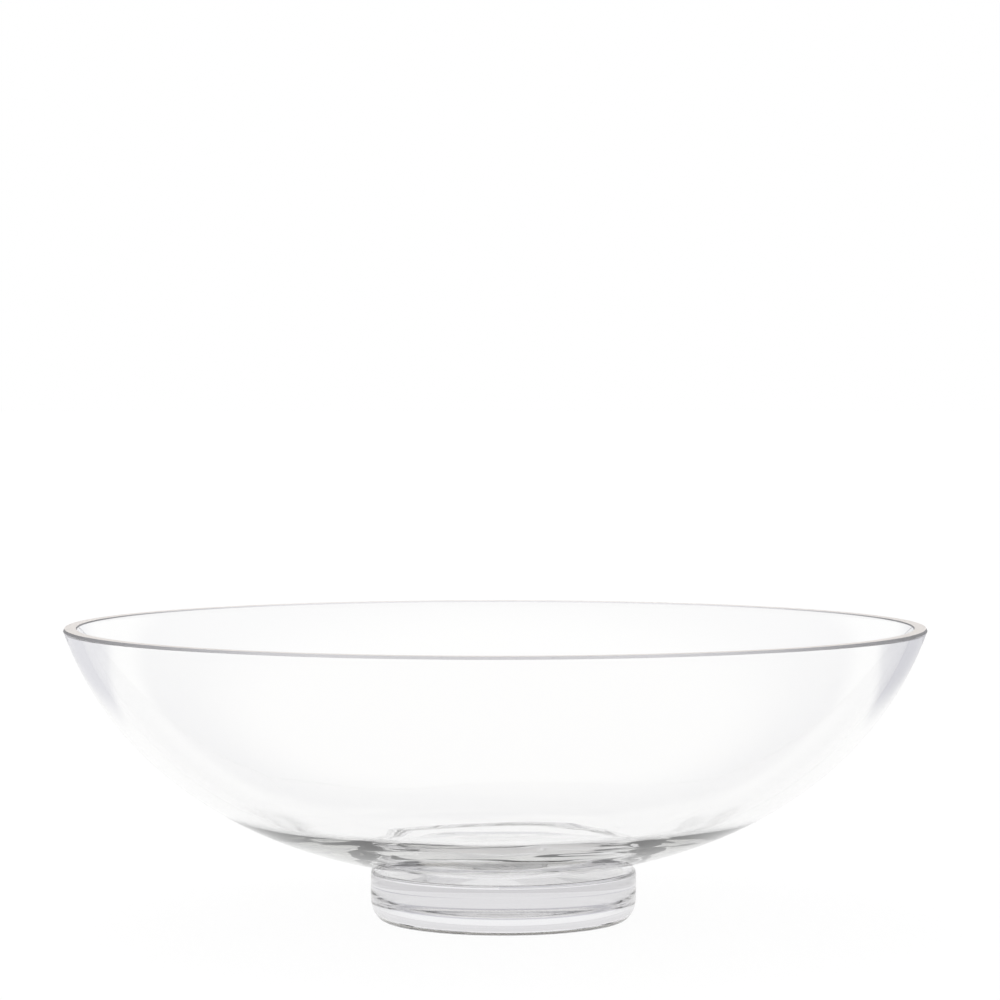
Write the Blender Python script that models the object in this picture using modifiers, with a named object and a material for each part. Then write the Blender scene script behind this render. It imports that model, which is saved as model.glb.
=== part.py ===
"""Clear glass fruit bowl on a solid glass foot.

Two pieces of glass: a wide round bowl whose even wall runs into a thick dished base, with a rim that is
ground flat and bevelled, and a thick turned foot that carries the bowl in a cupped seat. Metres, +Z up,
with the origin on the table under the middle of the rim.
"""

import math

import bpy

# Bowl
RIM_RADIUS = 0.175
RIM_HEIGHT = 0.120
RIM_WALL = 0.0055
OUTER_BEVEL_WIDTH = 0.0005
OUTER_BEVEL_DROP = 0.0011
INNER_BEVEL_WIDTH = 0.0004
INNER_BEVEL_DROP = 0.0005
UNDERSIDE_HEIGHT = 0.019
LOWER_WALL = 0.0052
BASE_THICKNESS = 0.0103
DISH_RADIUS = 0.4
# Height over which the inside of the wall runs into the dish.
DISH_BLEND = 0.005
# The wall is a superellipse. Its sides would stand upright this far above the rim.
UPRIGHT_ABOVE_RIM = 0.050
# An exponent of 2 makes an ellipse, and a higher one a squarer belly.
WALL_FULLNESS = 2.2

# Foot
FOOT_RADIUS = 0.0542
FOOT_EDGE_HEIGHT = 0.0204
FOOT_OFFSET = 0.0033
EDGE_ROUND = 0.0006
SHOULDER_WIDTH = 0.0090
SHOULDER_RISE = 0.0034
HEEL_WIDTH = 0.0060
HEEL_RISE = 0.0093
HOLLOW_RADIUS = 0.0160
HOLLOW_DEPTH = 0.0008
SEAT_CLEARANCE = 0.0003

# Facets
TURN_STEPS = 72
WALL_POINTS = 24
HEEL_POINTS = 6
EDGE_POINTS = 3
HOLLOW_POINTS = 3
CUT_MARGIN = 0.002
MERGE_DISTANCE = 0.00001
SHARP_ANGLE = math.radians(15)

GLASS_COLOUR = (0.93, 0.95, 0.94, 1.0)
GLASS_ROUGHNESS = 0.02
GLASS_IOR = 1.52


class WallForm:
    """Superellipse in the X-Z plane through a rim point, flat at its lowest point on the axis."""

    def __init__(self, rim_radius, rim_height, lowest):
        upright = RIM_HEIGHT + UPRIGHT_ABOVE_RIM
        self.upright_height = upright
        self.depth = upright - lowest
        share = (upright - rim_height) / self.depth
        self.half_width = rim_radius / (1 - share**WALL_FULLNESS) ** (1 / WALL_FULLNESS)
        self.rim_angle = self.angle_at(rim_radius)

    def angle_at(self, radius):
        """Angle of the curve at a radius, from 0 on the axis."""
        return math.asin((radius / self.half_width) ** (WALL_FULLNESS / 2))

    def radius_at(self, angle):
        """Radius of the curve at an angle."""
        return self.half_width * math.sin(angle) ** (2 / WALL_FULLNESS)

    def height(self, radius):
        """Height of the curve at a radius."""
        share = 1 - (radius / self.half_width) ** WALL_FULLNESS
        return self.upright_height - self.depth * share ** (1 / WALL_FULLNESS)

    def points(self):
        """Radius and height from the axis to the rim, at evenly spaced angles."""
        radii = [self.radius_at(self.rim_angle * i / WALL_POINTS) for i in range(WALL_POINTS + 1)]
        return [(radius, self.height(radius)) for radius in radii]

    def grown_point(self, radius, growth):
        """Point of the curve moved outwards, square to the wall."""
        height = self.height(radius)
        slope_out = (radius / self.half_width) ** (WALL_FULLNESS - 1) / self.half_width
        drop = (self.upright_height - height) / self.depth
        slope_down = drop ** (WALL_FULLNESS - 1) / self.depth
        length = math.hypot(slope_out, slope_down)
        return radius + growth * slope_out / length, height - growth * slope_down / length


class InsideForm(WallForm):
    """Inside of the wall, run smoothly into a shallow dish over the thick base."""

    def height(self, radius):
        """Height of the wall or of the dish, whichever is higher, rounded where they meet."""
        wall = super().height(radius)
        dish = UNDERSIDE_HEIGHT + BASE_THICKNESS + radius**2 / (2 * DISH_RADIUS)
        share = max(DISH_BLEND - abs(wall - dish), 0) / DISH_BLEND
        return max(wall, dish) + share**2 * DISH_BLEND / 4


def arc(centre, width, rise, start, end, points):
    """Points on an elliptical arc, its angles in degrees from +X towards +Z."""
    steps = [math.radians(start + (end - start) * i / points) for i in range(points + 1)]
    return [(centre[0] + width * math.cos(a), centre[1] + rise * math.sin(a)) for a in steps]


def clear_glass(name):
    """Clear, faintly green-grey soda glass."""
    material = bpy.data.materials.new(name)
    material.use_nodes = True
    shader = material.node_tree.nodes["Principled BSDF"]
    shader.inputs["Base Color"].default_value = GLASS_COLOUR
    shader.inputs["Roughness"].default_value = GLASS_ROUGHNESS
    shader.inputs["IOR"].default_value = GLASS_IOR
    shader.inputs["Metallic"].default_value = 0.0
    shader.inputs["Transmission Weight"].default_value = 1.0
    return material


def collection(name):
    """New collection in the scene."""
    group = bpy.data.collections.new(name)
    bpy.context.scene.collection.children.link(group)
    return group


def turned(name, profile, group):
    """Solid turned about Z from a profile that ends with the run down its outer side to the axis."""
    mesh = bpy.data.meshes.new(name)
    edges = [(i, i + 1) for i in range(len(profile) - 1)]
    mesh.from_pydata([(radius, 0.0, height) for radius, height in profile], edges, [])
    piece = bpy.data.objects.new(name, mesh)
    group.objects.link(piece)
    screw = piece.modifiers.new("turn", "SCREW")
    screw.axis = "Z"
    screw.angle = math.tau
    screw.steps = TURN_STEPS
    screw.render_steps = TURN_STEPS
    screw.use_merge_vertices = True
    screw.merge_threshold = MERGE_DISTANCE
    return piece


def finished(piece, material):
    """Keep the evaluated mesh, shade its round faces smooth and give it its glass."""
    evaluated = piece.evaluated_get(bpy.context.evaluated_depsgraph_get())
    mesh = bpy.data.meshes.new_from_object(evaluated)
    piece.modifiers.clear()
    piece.data = mesh
    mesh.materials.clear()
    mesh.materials.append(material)
    mesh.shade_smooth()
    mesh.set_sharp_from_angle(angle=SHARP_ANGLE)


def bowl_profile(outside):
    """Up the inside from the axis, over the ground rim, and down the outside to the axis."""
    rim_inside = RIM_RADIUS - RIM_WALL
    inside = InsideForm(rim_inside, RIM_HEIGHT - INNER_BEVEL_DROP, UNDERSIDE_HEIGHT + LOWER_WALL)
    rim_flat = [
        (rim_inside + INNER_BEVEL_WIDTH, RIM_HEIGHT),
        (RIM_RADIUS - OUTER_BEVEL_WIDTH, RIM_HEIGHT),
    ]
    return inside.points() + rim_flat + outside.points()[::-1]


def foot_blank_profile(top):
    """Foot before its seat is cut: neck, shoulder, edge, upright wall, heel, ground base and hollow."""
    neck = FOOT_RADIUS - SHOULDER_WIDTH
    shoulder_slope = math.degrees(math.atan2(SHOULDER_WIDTH, SHOULDER_RISE))
    edge_turn = math.radians(shoulder_slope)
    edge_drop = EDGE_ROUND * math.tan(edge_turn / 2)
    edge_centre = (FOOT_RADIUS - EDGE_ROUND, FOOT_EDGE_HEIGHT - edge_drop)
    profile = [(0.0, top), (neck, top), (neck, FOOT_EDGE_HEIGHT + SHOULDER_RISE)]
    profile += arc(edge_centre, EDGE_ROUND, EDGE_ROUND, shoulder_slope, 0, EDGE_POINTS)
    heel_centre = (FOOT_RADIUS - HEEL_WIDTH, HEEL_RISE)
    profile += arc(heel_centre, HEEL_WIDTH, HEEL_RISE, 0, -90, HEEL_POINTS)
    hollow_sphere = (HOLLOW_RADIUS**2 + HOLLOW_DEPTH**2) / (2 * HOLLOW_DEPTH)
    for i in range(HOLLOW_POINTS, -1, -1):
        radius = HOLLOW_RADIUS * i / HOLLOW_POINTS
        sag = hollow_sphere - math.sqrt(hollow_sphere**2 - radius**2)
        profile.append((radius, HOLLOW_DEPTH - sag))
    return profile


def seat_cutter(outside, top, group):
    """Form of the bowl's underside, grown by the clearance, past the foot's edge all round."""
    reach = FOOT_RADIUS + FOOT_OFFSET + CUT_MARGIN
    radii = [radius for radius, height in outside.points() if radius < reach] + [reach]
    underside = [outside.grown_point(radius, SEAT_CLEARANCE) for radius in reversed(radii)]
    cutter_top = max(top, underside[0][1]) + CUT_MARGIN
    profile = [(0.0, cutter_top), (underside[0][0], cutter_top)] + underside
    cutter = turned("seat_cutter", profile, group)
    cutter.hide_render = True
    cutter.display_type = "WIRE"
    return cutter


def build_bowl(outside, group):
    """Blown bowl with a ground and bevelled rim."""
    bowl = turned("bowl", bowl_profile(outside), group)
    finished(bowl, clear_glass("bowl_glass"))


def build_foot(outside, group, cutters):
    """Solid foot, set slightly off the bowl's axis, with a seat cut to the bowl's underside."""
    neck_reach = FOOT_RADIUS - SHOULDER_WIDTH + FOOT_OFFSET
    top = outside.height(neck_reach) + CUT_MARGIN
    foot = turned("foot", foot_blank_profile(top), group)
    foot.location.x = FOOT_OFFSET
    seat = foot.modifiers.new("seat", "BOOLEAN")
    seat.operation = "DIFFERENCE"
    seat.solver = "EXACT"
    seat.object = seat_cutter(outside, top, cutters)
    finished(foot, clear_glass("foot_glass"))


def main():
    """Clear the scene and build both pieces of glass."""
    for old in list(bpy.data.objects):
        bpy.data.objects.remove(old)
    parts = collection("glass_fruit_bowl")
    cutters = collection("cutters")
    outside = WallForm(RIM_RADIUS, RIM_HEIGHT - OUTER_BEVEL_DROP, UNDERSIDE_HEIGHT)
    build_bowl(outside, parts)
    build_foot(outside, parts, cutters)


main()
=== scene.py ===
"""Looks of a clear glass fruit bowl on a solid glass foot, laid out as an add-on and run as a script."""

import math

import bmesh
import bpy
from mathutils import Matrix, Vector, noise


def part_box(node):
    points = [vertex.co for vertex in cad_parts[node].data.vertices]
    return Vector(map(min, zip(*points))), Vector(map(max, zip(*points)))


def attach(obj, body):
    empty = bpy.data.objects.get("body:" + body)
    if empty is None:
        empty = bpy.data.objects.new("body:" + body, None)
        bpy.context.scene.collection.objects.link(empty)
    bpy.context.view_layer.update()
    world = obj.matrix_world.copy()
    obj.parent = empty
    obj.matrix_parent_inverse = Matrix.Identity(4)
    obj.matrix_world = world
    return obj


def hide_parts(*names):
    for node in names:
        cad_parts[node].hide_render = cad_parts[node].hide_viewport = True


bl_info = {
    "name": "Glass fruit bowl",
    "version": (1, 0, 0),
    "blender": (4, 5, 0),
    "location": "View3D > Sidebar > Fruit Bowl",
    "description": "Makes the bowl and its foot in clear glass and sets a pale studio around them",
    "category": "Object",
}

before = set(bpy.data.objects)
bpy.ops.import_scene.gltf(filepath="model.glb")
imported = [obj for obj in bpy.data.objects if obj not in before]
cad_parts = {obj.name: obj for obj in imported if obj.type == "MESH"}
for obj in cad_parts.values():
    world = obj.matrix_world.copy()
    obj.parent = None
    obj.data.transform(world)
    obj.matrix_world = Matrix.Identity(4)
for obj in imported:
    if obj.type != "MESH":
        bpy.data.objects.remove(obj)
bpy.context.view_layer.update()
BOWL_LOW, BOWL_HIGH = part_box("bowl")
FOOT_LOW, FOOT_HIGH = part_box("foot")
MM = 0.001

# Rings of the turned pieces. The bowl's are closer together within the base's reach.
TURN_STEPS = 224
BASE_REACH = 120 * MM
BASE_STEP = 0.8 * MM
WALL_RINGS = 36
SHOULDER_RINGS = 24
HEEL_RINGS = 24
HOLLOW_RINGS = 12
MERGE = 1e-6
# Edges that turn by more degrees than this stay sharp.
BOWL_SHARP = 12
FOOT_SHARP = 20

# Tooling ripples: the width over which they die out at their reach, and where they calm down over the foot.
RIPPLE_FADE = 30 * MM
CALM_START = 65 * MM
CALM_WIDTH = 25 * MM
# Width round the joint in which the rings of the bowl's underside go back from the foot's axis to the bowl's.
SEAT_BLEND = 25 * MM

GLASS_IOR = 1.52
# Shares of grinding and painted shade: the rim's flat top, its bevels at their darkest, where the painted
# shade is strongest, and 1 for its bevels at their palest.
GROUND_TOP = 0.5
SHADED_BEVEL = 0.6
GROUND_ROUGHNESS = 0.5
GROUND_CLEARNESS = 0.3
# A face of the foot is upright if its normal rises or falls by less than this.
UPRIGHT_SLOPE = 0.1

LIGHT_BOUNCES = 20
FLOOR_RADIUS = 30.0
FLOOR_SIDES = 96
FLOOR_DROP = 0.05 * MM
LAMP_PLACE = (-0.3, 0.3, 1.6)


def linear(hex_colour):
    """Linear red, green and blue of an sRGB hex colour."""
    channels = [int(hex_colour[i : i + 2], 16) / 255 for i in (1, 3, 5)]
    return tuple(c / 12.92 if c <= 0.04045 else ((c + 0.055) / 1.055) ** 2.4 for c in channels)


def length(name, description, default):
    """Property for a real length in metres."""
    return bpy.props.FloatProperty(
        name=name, description=description, default=default, unit="LENGTH", precision=5
    )


def plain(name, description, default):
    """Property for a plain number."""
    return bpy.props.FloatProperty(name=name, description=description, default=default, precision=4)


def colour(name, description, hex_colour):
    """Property for a colour, written as sRGB."""
    return bpy.props.FloatVectorProperty(
        name=name, description=description, default=linear(hex_colour), subtype="COLOR", min=0.0, max=1.0
    )


class BowlSettings(bpy.types.PropertyGroup):
    """Sizes of the bowl."""

    rim_radius: length("Rim radius", "Outside of the rim", BOWL_HIGH.x)
    rim_height: length("Rim height", "Ground top of the rim above the table", BOWL_HIGH.z)
    rim_wall: length("Rim wall", "Width of the rim, bevels included", 5.5 * MM)
    outer_bevel_width: length("Outer bevel width", "Across the rim's outer bevel", 0.5 * MM)
    outer_bevel_drop: length("Outer bevel drop", "Down the rim's outer bevel", 1.1 * MM)
    inner_bevel_width: length("Inner bevel width", "Across the rim's inner bevel", 0.4 * MM)
    inner_bevel_drop: length("Inner bevel drop", "Down the rim's inner bevel", 0.5 * MM)
    underside: length("Underside", "Lowest point of the bowl above the table", BOWL_LOW.z)
    lower_wall: length("Lower wall", "Wall where it runs into the base", 5.2 * MM)
    base_thickness: length("Base thickness", "Glass in the middle of the base", 10.3 * MM)
    dish_radius: length("Dish radius", "Radius of the dished bottom inside the bowl", 400 * MM)
    dish_blend: length("Dish blend", "Height over which the dish runs into the wall", 5 * MM)
    ripple: length("Ripple", "Height of the tooling ripples in the bottom", 0.2 * MM)
    ripple_width: length("Ripple width", "Distance from one tooling ripple to the next", 10 * MM)
    ripple_turn: plain("Ripple turn", "How fast a ripple changes round the bowl", 2.0)
    ripple_middle: plain("Ripple middle", "Share of the ripples that is left over the foot", 0.4)
    ripple_reach: length("Ripple reach", "Distance from the axis where the ripples end", 122 * MM)
    # Painted shade: how soon the rim's bevels darken away from front and back.
    bevel_shade_fade: plain("Bevel fade", "How soon the ground bevels go dull away from front and back", 1.2)
    upright_above_rim: length("Upright above rim", "Where the wall would stand upright", 50 * MM)
    fullness: plain("Fullness", "Exponent of the wall's superellipse, where 2 is an ellipse", 2.2)


class FootSettings(bpy.types.PropertyGroup):
    """Sizes of the foot."""

    radius: length("Radius", "Upright wall of the foot", (FOOT_HIGH.x - FOOT_LOW.x) / 2)
    offset: length("Offset", "How far the foot sits off the bowl's axis", (FOOT_HIGH.x + FOOT_LOW.x) / 2)
    edge_height: length("Edge height", "Where the upright wall meets the shoulder", 20.4 * MM)
    edge_round: length("Edge round", "Round where the wall meets the shoulder", 1.2 * MM)
    joint_radius: length("Joint radius", "Where the shoulder meets the bowl", 48.0 * MM)
    fused_radius: length("Fused radius", "Glass is one with the bowl inside this", 47.8 * MM)
    heel_width: length("Heel width", "Rounded heel, across", 6 * MM)
    heel_rise: length("Heel rise", "Rounded heel, up", 9.3 * MM)
    hollow_radius: length("Hollow radius", "Ground hollow under the foot, from its middle", 16 * MM)
    hollow_depth: length("Hollow depth", "Ground hollow under the foot, at its middle", 0.8 * MM)
    seat_gap: length("Seat gap", "Gap between foot and bowl in the fused seat", 0.03 * MM)


class StageSettings(bpy.types.PropertyGroup):
    """Camera, floor and light."""

    camera_distance: length("Camera distance", "From the bowl's axis, towards -Y", 1.4967)
    camera_height: length("Camera height", "Above the table", 0.2175)
    camera_side: length("Camera side", "To the right of the bowl's axis", 0.0019)
    camera_pitch: plain("Camera pitch", "Degrees below the horizon", 1.777)
    focal_share: plain("Focal share", "Focal length over the picture's width", 3.6771)
    floor_tone: plain("Floor tone", "How much of the light the floor scatters", 0.08)
    floor_glow: plain("Floor glow", "Light of the white paper, alike for the camera and the glass", 0.94)
    lane: length("Lane", "Half the width of the white lane at the bowl", 0.2)
    lane_spread: plain("Lane spread", "How much wider the lane's half gets per metre behind the bowl", 0.136)
    side_reach: length("Side reach", "Distance to the side at which the paper has gone pale grey", 0.28)
    left_tone: colour("Left tone", "Paper behind the bowl, left of the lane", "#DADADF")
    right_tone: colour("Right tone", "Paper behind the bowl, right of the lane", "#CCCCD2")
    lamp_power: plain("Lamp power", "Watts of the softbox", 4.0)
    lamp_size: length("Lamp size", "Side of the square softbox", 1.2)
    low_wall: colour("Low wall", "White screen from the floor up", "#FFFFFF")
    high_wall: colour("High wall", "Studio wall above the screen", "#D0D0D5")
    ceiling: colour("Ceiling", "Soft light from the ceiling", "#FFFEFC")
    low_top: plain("Low top", "Sine of the height at which the low wall ends", 0.27)
    high_foot: plain("High foot", "Sine of the height at which the high wall starts", 0.38)
    high_top: plain("High top", "Sine of the height at which the high wall ends", 0.5)
    ceiling_rise: plain("Ceiling rise", "Sine of the height at which the ceiling starts", 0.8)


class WallForm:
    """Superellipse of a wall through a rim point, flat at its lowest point on the axis."""

    def __init__(self, bowl, rim_radius, rim_height, lowest):
        self.fullness = bowl.fullness
        self.upright = bowl.rim_height + bowl.upright_above_rim
        self.depth = self.upright - lowest
        share = (self.upright - rim_height) / self.depth
        self.half_width = rim_radius / (1 - share**self.fullness) ** (1 / self.fullness)
        self.rim_radius = rim_radius

    def height(self, radius):
        """Height of the wall at a distance from the axis."""
        share = 1 - (radius / self.half_width) ** self.fullness
        return self.upright - self.depth * share ** (1 / self.fullness)

    def points(self, bends=()):
        """Points from the axis to the rim, close together in the base and with rings at set bends."""
        fine = [BASE_STEP * i for i in range(round(BASE_REACH / BASE_STEP))]
        left = self.rim_radius - BASE_REACH
        coarse = [BASE_REACH + left * i / WALL_RINGS for i in range(WALL_RINGS + 1)]
        kept = [r for r in fine + coarse if all(abs(r - bend) > BASE_STEP / 2 for bend in bends)]
        return [(radius, self.height(radius)) for radius in sorted([*kept, *bends])]


class InsideForm(WallForm):
    """Inner face of the wall, run softly into a shallow dish at the bottom."""

    def __init__(self, bowl):
        rim_inside = bowl.rim_radius - bowl.rim_wall
        bevel_foot = bowl.rim_height - bowl.inner_bevel_drop
        super().__init__(bowl, rim_inside, bevel_foot, bowl.underside + bowl.lower_wall)
        self.dish_lowest = bowl.underside + bowl.base_thickness
        self.dish_radius = bowl.dish_radius
        self.blend = bowl.dish_blend

    def height(self, radius):
        """Height of the inner face at a distance from the axis."""
        wall = super().height(radius)
        dish = self.dish_lowest + radius**2 / (2 * self.dish_radius)
        share = max(self.blend - abs(wall - dish), 0) / self.blend
        return max(wall, dish) + share**2 * self.blend / 4


def outer_form(bowl):
    """Outside of the bowl, up to the rim's bevel."""
    return WallForm(bowl, bowl.rim_radius, bowl.rim_height - bowl.outer_bevel_drop, bowl.underside)


def arc(centre, width, rise, start, end, count):
    """Points on an elliptical arc, its angles in degrees from +X towards +Z."""
    angles = [math.radians(start + (end - start) * i / count) for i in range(count + 1)]
    return [(centre[0] + width * math.cos(a), centre[1] + rise * math.sin(a)) for a in angles]


def turned(profile):
    """Bmesh of a closed solid turned about Z from a profile that starts and ends on the axis."""
    mesh = bmesh.new()
    verts = [mesh.verts.new((radius, 0.0, height)) for radius, height in profile]
    edges = [mesh.edges.new(pair) for pair in zip(verts, verts[1:])]
    bmesh.ops.spin(
        mesh,
        geom=verts + edges,
        cent=(0, 0, 0),
        axis=(0, 0, 1),
        angle=math.tau,
        steps=TURN_STEPS,
        use_merge=True,
        use_duplicate=False,
    )
    bmesh.ops.remove_doubles(mesh, verts=mesh.verts, dist=MERGE)
    bmesh.ops.recalc_face_normals(mesh, faces=mesh.faces)
    return mesh


def add_piece(name, mesh, material, marks, sharp_degrees):
    """Object of a finished bmesh, with a face attribute for each mark's share of every face."""
    data = bpy.data.meshes.new(name)
    mesh.faces.ensure_lookup_table()
    shares = {mark: [share(face) for face in mesh.faces] for mark, share in marks.items()}
    mesh.to_mesh(data)
    mesh.free()
    for mark, values in shares.items():
        data.attributes.new(mark, "FLOAT", "FACE").data.foreach_set("value", values)
    data.materials.append(material)
    data.shade_smooth()
    data.set_sharp_from_angle(angle=math.radians(sharp_degrees))
    piece = bpy.data.objects.new(name, data)
    bpy.context.scene.collection.objects.link(piece)
    return piece


def add_node(tree, kind, settings=None, links=None):
    """Node with its settings by attribute or socket, and links from other nodes' sockets."""
    node = tree.nodes.new(kind)
    for key, value in (settings or {}).items():
        if isinstance(key, str) and hasattr(node, key):
            setattr(node, key, value)
        else:
            node.inputs[key].default_value = value
    for key, socket in (links or {}).items():
        tree.links.new(socket, node.inputs[key])
    return node


def maths(tree, operation, first, second=0.0):
    """Socket with the result of a maths operation on a socket and a second socket or number."""
    settings = {"operation": operation}
    links = {0: first}
    if isinstance(second, float):
        settings[1] = second
    else:
        links[1] = second
    return add_node(tree, "ShaderNodeMath", settings, links).outputs["Value"]


def marked(tree, mark):
    """Socket with the share that a face attribute gives."""
    return add_node(tree, "ShaderNodeAttribute", {"attribute_name": mark}).outputs["Fac"]


def colour_ramp(tree, socket, stops):
    """Colour that runs smoothly through (place, colour) stops with a socket's value."""
    node = add_node(tree, "ShaderNodeValToRGB", links={"Fac": socket})
    ramp = node.color_ramp
    ramp.interpolation = "EASE"
    while len(ramp.elements) < len(stops):
        ramp.elements.new(1.0)
    for element, (place, tone) in zip(ramp.elements, stops):
        element.position = place
        element.color = (*tone, 1)
    return node.outputs["Color"]


def clear_glass(name, depth_tone, depth_density, painted_wall_shade_tone):
    """Clear crystal: bends the light sharply, goes grey where it is deep, and dull where it was ground, with
    a painted reflection tinting the rim's top creamy and painted shade darkening the rim's bevels.
    """
    material = bpy.data.materials.new(name)
    material.use_nodes = True
    tree = material.node_tree
    tree.nodes.clear()
    # In the fused seat the light goes straight on from one piece into the other.
    index = add_node(
        tree, "ShaderNodeMapRange", {"To Min": GLASS_IOR, "To Max": 1.0}, {"Value": marked(tree, "fused")}
    )
    # The ground top is tinted creamy, a painted reflection. The ground bevels run from slate to nearly white,
    # painted shade that is darkest at the bowl's sides and palest at front and back.
    ground_and_shade = marked(tree, "ground_and_shade")
    body = colour_ramp(
        tree,
        ground_and_shade,
        [
            (0.0, linear("#FFFFFF")),
            # Painted reflection: the creamy tint of the ground top.
            (GROUND_TOP, linear("#FAF4EF")),
            # Painted shade: the slate of the bevels at the bowl's sides.
            (SHADED_BEVEL, linear("#78777B")),
            (1.0, linear("#F4F3F6")),
        ],
    )
    # Painted shade: a faint grey multiplied into the colour on the faces marked for it, the foot's upright
    # wall, for the shaded floor seen through it.
    tint = add_node(
        tree,
        "ShaderNodeMix",
        {"data_type": "RGBA", "blend_type": "MULTIPLY", 7: (*linear(painted_wall_shade_tone), 1)},
        {"Factor": marked(tree, "painted_wall_shade"), 6: body},
    )
    rough = add_node(
        tree, "ShaderNodeMapRange", {"From Max": GROUND_TOP, "To Max": GROUND_ROUGHNESS}, {"Value": ground_and_shade}
    )
    clear = add_node(
        tree,
        "ShaderNodeMapRange",
        {"From Max": GROUND_TOP, "To Min": 1.0, "To Max": GROUND_CLEARNESS},
        {"Value": ground_and_shade},
    )
    shader = add_node(
        tree,
        "ShaderNodeBsdfPrincipled",
        links={
            "Base Color": tint.outputs[2],
            "Roughness": rough.outputs["Result"],
            "Transmission Weight": clear.outputs["Result"],
            "IOR": index.outputs["Result"],
        },
    )
    depth = add_node(
        tree, "ShaderNodeVolumeAbsorption", {"Color": (*linear(depth_tone), 1), "Density": depth_density}
    )
    add_node(
        tree,
        "ShaderNodeOutputMaterial",
        links={"Surface": shader.outputs["BSDF"], "Volume": depth.outputs["Volume"]},
    )
    return material


def blown_crystal():
    """Glass of the bowl: clear in the wall, a warm grey through the thick base."""
    return clear_glass("blown crystal", "#BEBEB8", 5.25, "#FFFFFF")


def cast_crystal():
    """Glass of the foot: clear, a cool grey across its width, with painted shade, a faint grey, on the
    upright wall.
    """
    # The last colour is painted shade on the foot's upright wall.
    return clear_glass("cast crystal", "#C3C2CB", 2.48, "#DBDADB")


def ripple(bowl, place, radius):
    """Height of the tooling ripples: rings that wander and break off round the bowl."""
    around = place.xy / max(radius, MERGE) * bowl.ripple_turn
    wave = noise.noise(Vector((radius / bowl.ripple_width, around.x, around.y)))
    fade = min(1.0, (bowl.ripple_reach - radius) / RIPPLE_FADE)
    over_foot = min(1.0, max(0.0, (CALM_START - radius) / CALM_WIDTH))
    return bowl.ripple * wave * fade * (1 - (1 - bowl.ripple_middle) * over_foot)


def seat_blend(radius, foot):
    """1 over the foot's joint, 0 well outside it."""
    share = (foot.joint_radius + SEAT_BLEND - radius) / SEAT_BLEND
    share = min(1.0, max(0.0, share))
    return share * share * (3 - 2 * share)


class FRUITBOWL_OT_bowl(bpy.types.Operator):
    """Blow the bowl: an even wall, a thick dished base, and a ground and bevelled rim"""

    bl_idname = "fruit_bowl.bowl"
    bl_label = "Glass bowl"

    def execute(self, context):
        bowl = context.scene.fruit_bowl
        foot = context.scene.fruit_bowl_foot
        outside = outer_form(bowl)
        inside = InsideForm(bowl)
        rim_inside = bowl.rim_radius - bowl.rim_wall
        profile = inside.points()
        profile.append((rim_inside + bowl.inner_bevel_width, bowl.rim_height))
        profile.append((bowl.rim_radius - bowl.outer_bevel_width, bowl.rim_height))
        under = outside.points([foot.fused_radius, foot.joint_radius])
        mesh = turned(profile + under[::-1])
        for vert in mesh.verts:
            radius = math.hypot(vert.co.x, vert.co.y)
            if radius > bowl.ripple_reach:
                continue
            if vert.co.z > outside.height(radius) + MM:
                vert.co.z += ripple(bowl, vert.co, radius)
            else:
                vert.co.x += foot.offset * seat_blend(radius, foot)
                vert.co.z = outside.height(math.hypot(vert.co.x, vert.co.y))

        def fused(face):
            """1 on the underside over the foot."""
            centre = face.calc_center_median()
            from_foot = math.hypot(centre.x - foot.offset, centre.y)
            return float(from_foot < foot.fused_radius and face.normal.z < 0)

        def ground_and_shade(face):
            """Share of grinding on the rim's top and bevels, with painted shade on the bevels that grows away
            from front and back.
            """
            heights = [vert.co.z for vert in face.verts]
            if max(heights) < bowl.rim_height - MERGE:
                return 0.0
            if min(heights) > bowl.rim_height - MERGE:
                return GROUND_TOP
            # Painted shade: the bevels darken towards the bowl's sides and stay pale at front and back.
            centre = face.calc_center_median()
            pale = abs(centre.y) / centre.xy.length
            return SHADED_BEVEL + (1 - SHADED_BEVEL) * pale**bowl.bevel_shade_fade

        marks = {"fused": fused, "ground_and_shade": ground_and_shade}
        piece = add_piece("glass_bowl", mesh, blown_crystal(), marks, BOWL_SHARP)
        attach(piece, "root")
        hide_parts("bowl")
        return {"FINISHED"}


def foot_profile(bowl, foot):
    """Seat and shoulder, still flat and at the rim's height, then wall, heel, base and hollow."""
    bends = [foot.fused_radius, foot.joint_radius]
    even = [BASE_STEP * i for i in range(int(foot.joint_radius / BASE_STEP))]
    rings = [r for r in even if all(abs(r - bend) > BASE_STEP / 2 for bend in bends)]
    shoulder = foot.radius - foot.joint_radius
    slope = [foot.joint_radius + shoulder * i / SHOULDER_RINGS for i in range(1, SHOULDER_RINGS + 1)]
    profile = [(radius, bowl.rim_height) for radius in sorted(rings + bends) + slope]
    profile.append((foot.radius, foot.edge_height - foot.edge_round))
    heel_centre = (foot.radius - foot.heel_width, foot.heel_rise)
    profile += arc(heel_centre, foot.heel_width, foot.heel_rise, 0, -90, HEEL_RINGS)
    hollow_sphere = (foot.hollow_radius**2 + foot.hollow_depth**2) / (2 * foot.hollow_depth)
    for i in range(HOLLOW_RINGS, -1, -1):
        radius = foot.hollow_radius * i / HOLLOW_RINGS
        sag = hollow_sphere - math.sqrt(hollow_sphere**2 - radius**2)
        profile.append((radius, foot.hollow_depth - sag))
    return profile


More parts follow.
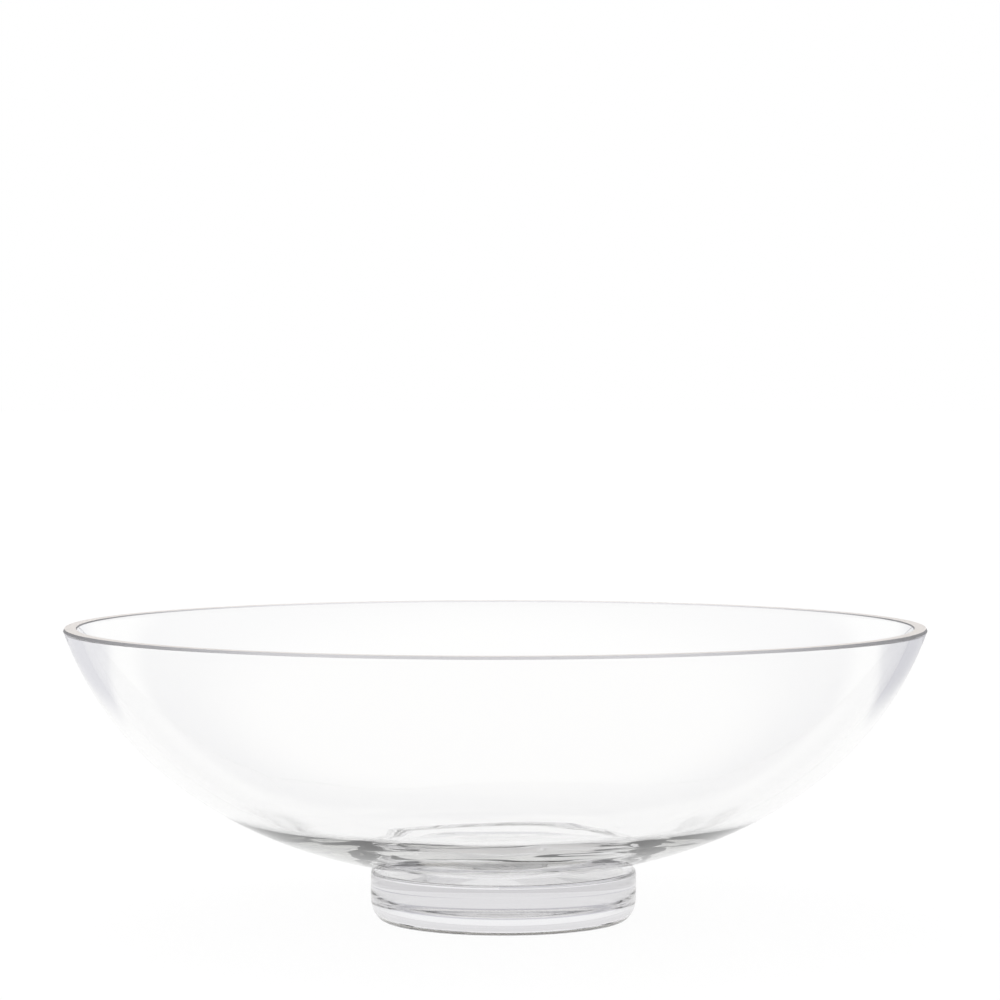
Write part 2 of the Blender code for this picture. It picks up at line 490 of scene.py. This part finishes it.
def foot_top(bowl_form, foot, place):
    """Height of the foot's top: the bowl's underside in the seat, then a cone down to the rounded edge."""
    from_foot = math.hypot(place.x - foot.offset, place.y)
    inward = min(1.0, foot.joint_radius / max(from_foot, MERGE))
    over_joint = Vector((foot.offset + (place.x - foot.offset) * inward, place.y * inward))
    seat = bowl_form.height(over_joint.length) - foot.seat_gap
    if from_foot <= foot.joint_radius + MERGE:
        return seat
    out = min(1.0, (from_foot - foot.joint_radius) / (foot.radius - foot.joint_radius))
    cone = foot.edge_height + (seat - foot.edge_height) * (1 - out)
    into_edge = max(0.0, foot.edge_round - (foot.radius - from_foot))
    return cone - foot.edge_round + math.sqrt(foot.edge_round**2 - into_edge**2)


class FRUITBOWL_OT_foot(bpy.types.Operator):
    """Cast the foot: a seat fused to the bowl, a shoulder, an upright wall and a rounded heel"""

    bl_idname = "fruit_bowl.foot"
    bl_label = "Glass foot"

    def execute(self, context):
        bowl = context.scene.fruit_bowl
        foot = context.scene.fruit_bowl_foot
        outside = outer_form(bowl)
        mesh = turned(foot_profile(bowl, foot))
        bmesh.ops.translate(mesh, verts=mesh.verts, vec=(foot.offset, 0, 0))
        for vert in mesh.verts:
            if vert.co.z > bowl.rim_height - MERGE:
                vert.co.z = foot_top(outside, foot, vert.co)
        bmesh.ops.recalc_face_normals(mesh, faces=mesh.faces)

        def fused(face):
            """1 in the seat under the bowl."""
            centre = face.calc_center_median()
            from_foot = math.hypot(centre.x - foot.offset, centre.y)
            return float(from_foot < foot.fused_radius and centre.z > foot.heel_rise)

        def painted_wall_shade(face):
            """1 on the upright wall, which gets painted shade."""
            return float(abs(face.normal.z) < UPRIGHT_SLOPE)

        piece = add_piece("glass_foot", mesh, cast_crystal(), {"fused": fused, "painted_wall_shade": painted_wall_shade}, FOOT_SHARP)
        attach(piece, "root")
        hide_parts("foot")
        return {"FINISHED"}


def seen_directly(tree):
    """Socket that is 1 for the rays of the camera, of mirrors and of glass, and 0 for scattered light."""
    path = add_node(tree, "ShaderNodeLightPath").outputs
    mirrored = maths(tree, "MAXIMUM", path["Is Glossy Ray"], path["Is Transmission Ray"])
    return maths(tree, "MAXIMUM", path["Is Camera Ray"], mirrored)


def side_share(tree, stage):
    """Socket from 0 to 1 across the paper behind the bowl, and 0.5 all over in front of it."""
    place = add_node(tree, "ShaderNodeTexCoord").outputs["Object"]
    axes = add_node(tree, "ShaderNodeSeparateXYZ", links={"Vector": place}).outputs
    spread = maths(tree, "MULTIPLY", axes["Y"], stage.lane_spread)
    beyond = maths(tree, "SUBTRACT", maths(tree, "ABSOLUTE", axes["X"]), spread)
    across = maths(tree, "MULTIPLY", maths(tree, "SIGN", axes["X"]), maths(tree, "MAXIMUM", beyond))
    behind = add_node(
        tree,
        "ShaderNodeMapRange",
        {"interpolation_type": "SMOOTHSTEP", "From Max": stage.lane},
        {"Value": axes["Y"]},
    )
    share = add_node(
        tree,
        "ShaderNodeMapRange",
        {"From Min": -stage.side_reach, "From Max": stage.side_reach},
        {"Value": maths(tree, "MULTIPLY", across, behind.outputs["Result"])},
    )
    return share.outputs["Result"]


def white_paper(stage):
    """Matt white paper that keeps a soft shadow and fades to pale grey at both sides behind the bowl."""
    paper = bpy.data.materials.new("white paper")
    paper.use_nodes = True
    tree = paper.node_tree
    shader = tree.nodes["Principled BSDF"]
    shader.inputs["Base Color"].default_value = (stage.floor_tone, stage.floor_tone, stage.floor_tone, 1)
    shader.inputs["Roughness"].default_value = 0.9
    shader.inputs["Specular IOR Level"].default_value = 0.0
    white = (stage.floor_glow, stage.floor_glow, stage.floor_glow)
    edge = 0.5 * stage.lane / stage.side_reach
    tones = colour_ramp(
        tree,
        side_share(tree, stage),
        [(0.0, stage.left_tone), (0.5 - edge, white), (0.5 + edge, white), (1.0, stage.right_tone)],
    )
    tree.links.new(tones, shader.inputs["Emission Color"])
    tree.links.new(seen_directly(tree), shader.inputs["Emission Strength"])
    return paper


def add_floor(scene, stage):
    """Round sheet of paper, just under the foot."""
    sheet = bmesh.new()
    bmesh.ops.create_circle(sheet, cap_ends=True, segments=FLOOR_SIDES, radius=FLOOR_RADIUS)
    data = bpy.data.meshes.new("floor")
    sheet.to_mesh(data)
    sheet.free()
    data.materials.append(white_paper(stage))
    floor = bpy.data.objects.new("floor", data)
    floor.location.z = -FLOOR_DROP
    scene.collection.objects.link(floor)


def add_world(scene, stage):
    """Studio round the bowl: a white screen low down, a pale wall above it and a soft ceiling."""
    world = bpy.data.worlds.new("studio")
    scene.world = world
    world.use_nodes = True
    tree = world.node_tree
    tree.nodes.clear()
    way = add_node(tree, "ShaderNodeTexCoord").outputs["Generated"]
    rise = add_node(tree, "ShaderNodeSeparateXYZ", links={"Vector": way}).outputs["Z"]
    walls = colour_ramp(
        tree,
        rise,
        [
            (stage.low_top, stage.low_wall),
            (stage.high_foot, stage.high_wall),
            (stage.high_top, stage.high_wall),
            (stage.ceiling_rise, stage.ceiling),
        ],
    )
    light = add_node(tree, "ShaderNodeBackground", links={"Color": walls})
    add_node(tree, "ShaderNodeOutputWorld", links={"Surface": light.outputs["Background"]})


def add_softbox(scene, stage):
    """Square softbox overhead, which glass and mirrors don't show."""
    lamp = bpy.data.objects.new("softbox", bpy.data.lights.new("softbox", "AREA"))
    lamp.data.size = stage.lamp_size
    lamp.data.energy = stage.lamp_power
    lamp.location = LAMP_PLACE
    lamp.visible_glossy = False
    lamp.visible_transmission = False
    scene.collection.objects.link(lamp)


def add_camera(scene, stage):
    """Camera at the photograph's angle."""
    camera = bpy.data.objects.new("camera", bpy.data.cameras.new("camera"))
    camera.location = (stage.camera_side, -stage.camera_distance, stage.camera_height)
    camera.rotation_euler = (math.radians(90 - stage.camera_pitch), 0, 0)
    camera.data.lens = stage.focal_share * camera.data.sensor_width
    camera.data.clip_start = 0.05
    camera.data.clip_end = 100
    scene.collection.objects.link(camera)
    scene.camera = camera


class FRUITBOWL_OT_stage(bpy.types.Operator):
    """Set the pale floor, the soft light and the camera"""

    bl_idname = "fruit_bowl.stage"
    bl_label = "Stage"

    def execute(self, context):
        scene = context.scene
        stage = scene.fruit_bowl_stage
        scene.view_settings.view_transform = "Standard"
        scene.cycles.max_bounces = LIGHT_BOUNCES
        scene.cycles.transmission_bounces = LIGHT_BOUNCES
        scene.cycles.glossy_bounces = LIGHT_BOUNCES
        add_camera(scene, stage)
        add_floor(scene, stage)
        add_world(scene, stage)
        add_softbox(scene, stage)
        return {"FINISHED"}


class FRUITBOWL_PT_panel(bpy.types.Panel):
    """Sidebar panel with the pieces and their settings"""

    bl_idname = "FRUITBOWL_PT_panel"
    bl_label = "Glass fruit bowl"
    bl_space_type = "VIEW_3D"
    bl_region_type = "UI"
    bl_category = "Fruit Bowl"

    def draw(self, context):
        for operator in OPERATORS:
            self.layout.operator(operator.bl_idname)
        for name, group in SETTINGS.items():
            for setting in group.__annotations__:
                self.layout.prop(getattr(context.scene, name), setting)


SETTINGS = {"fruit_bowl": BowlSettings, "fruit_bowl_foot": FootSettings, "fruit_bowl_stage": StageSettings}
OPERATORS = [FRUITBOWL_OT_bowl, FRUITBOWL_OT_foot, FRUITBOWL_OT_stage]


def register():
    """Add the settings, the operators and the panel to Blender."""
    for kind in [*SETTINGS.values(), *OPERATORS, FRUITBOWL_PT_panel]:
        bpy.utils.register_class(kind)
    for name, group in SETTINGS.items():
        setattr(bpy.types.Scene, name, bpy.props.PointerProperty(type=group))


def unregister():
    """Take them out again."""
    for name in SETTINGS:
        delattr(bpy.types.Scene, name)
    for kind in [FRUITBOWL_PT_panel, *OPERATORS, *SETTINGS.values()]:
        bpy.utils.unregister_class(kind)


def main():
    """Register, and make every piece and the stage."""
    register()
    bpy.ops.fruit_bowl.bowl()
    bpy.ops.fruit_bowl.foot()
    bpy.ops.fruit_bowl.stage()


if __name__ == "__main__":
    main()
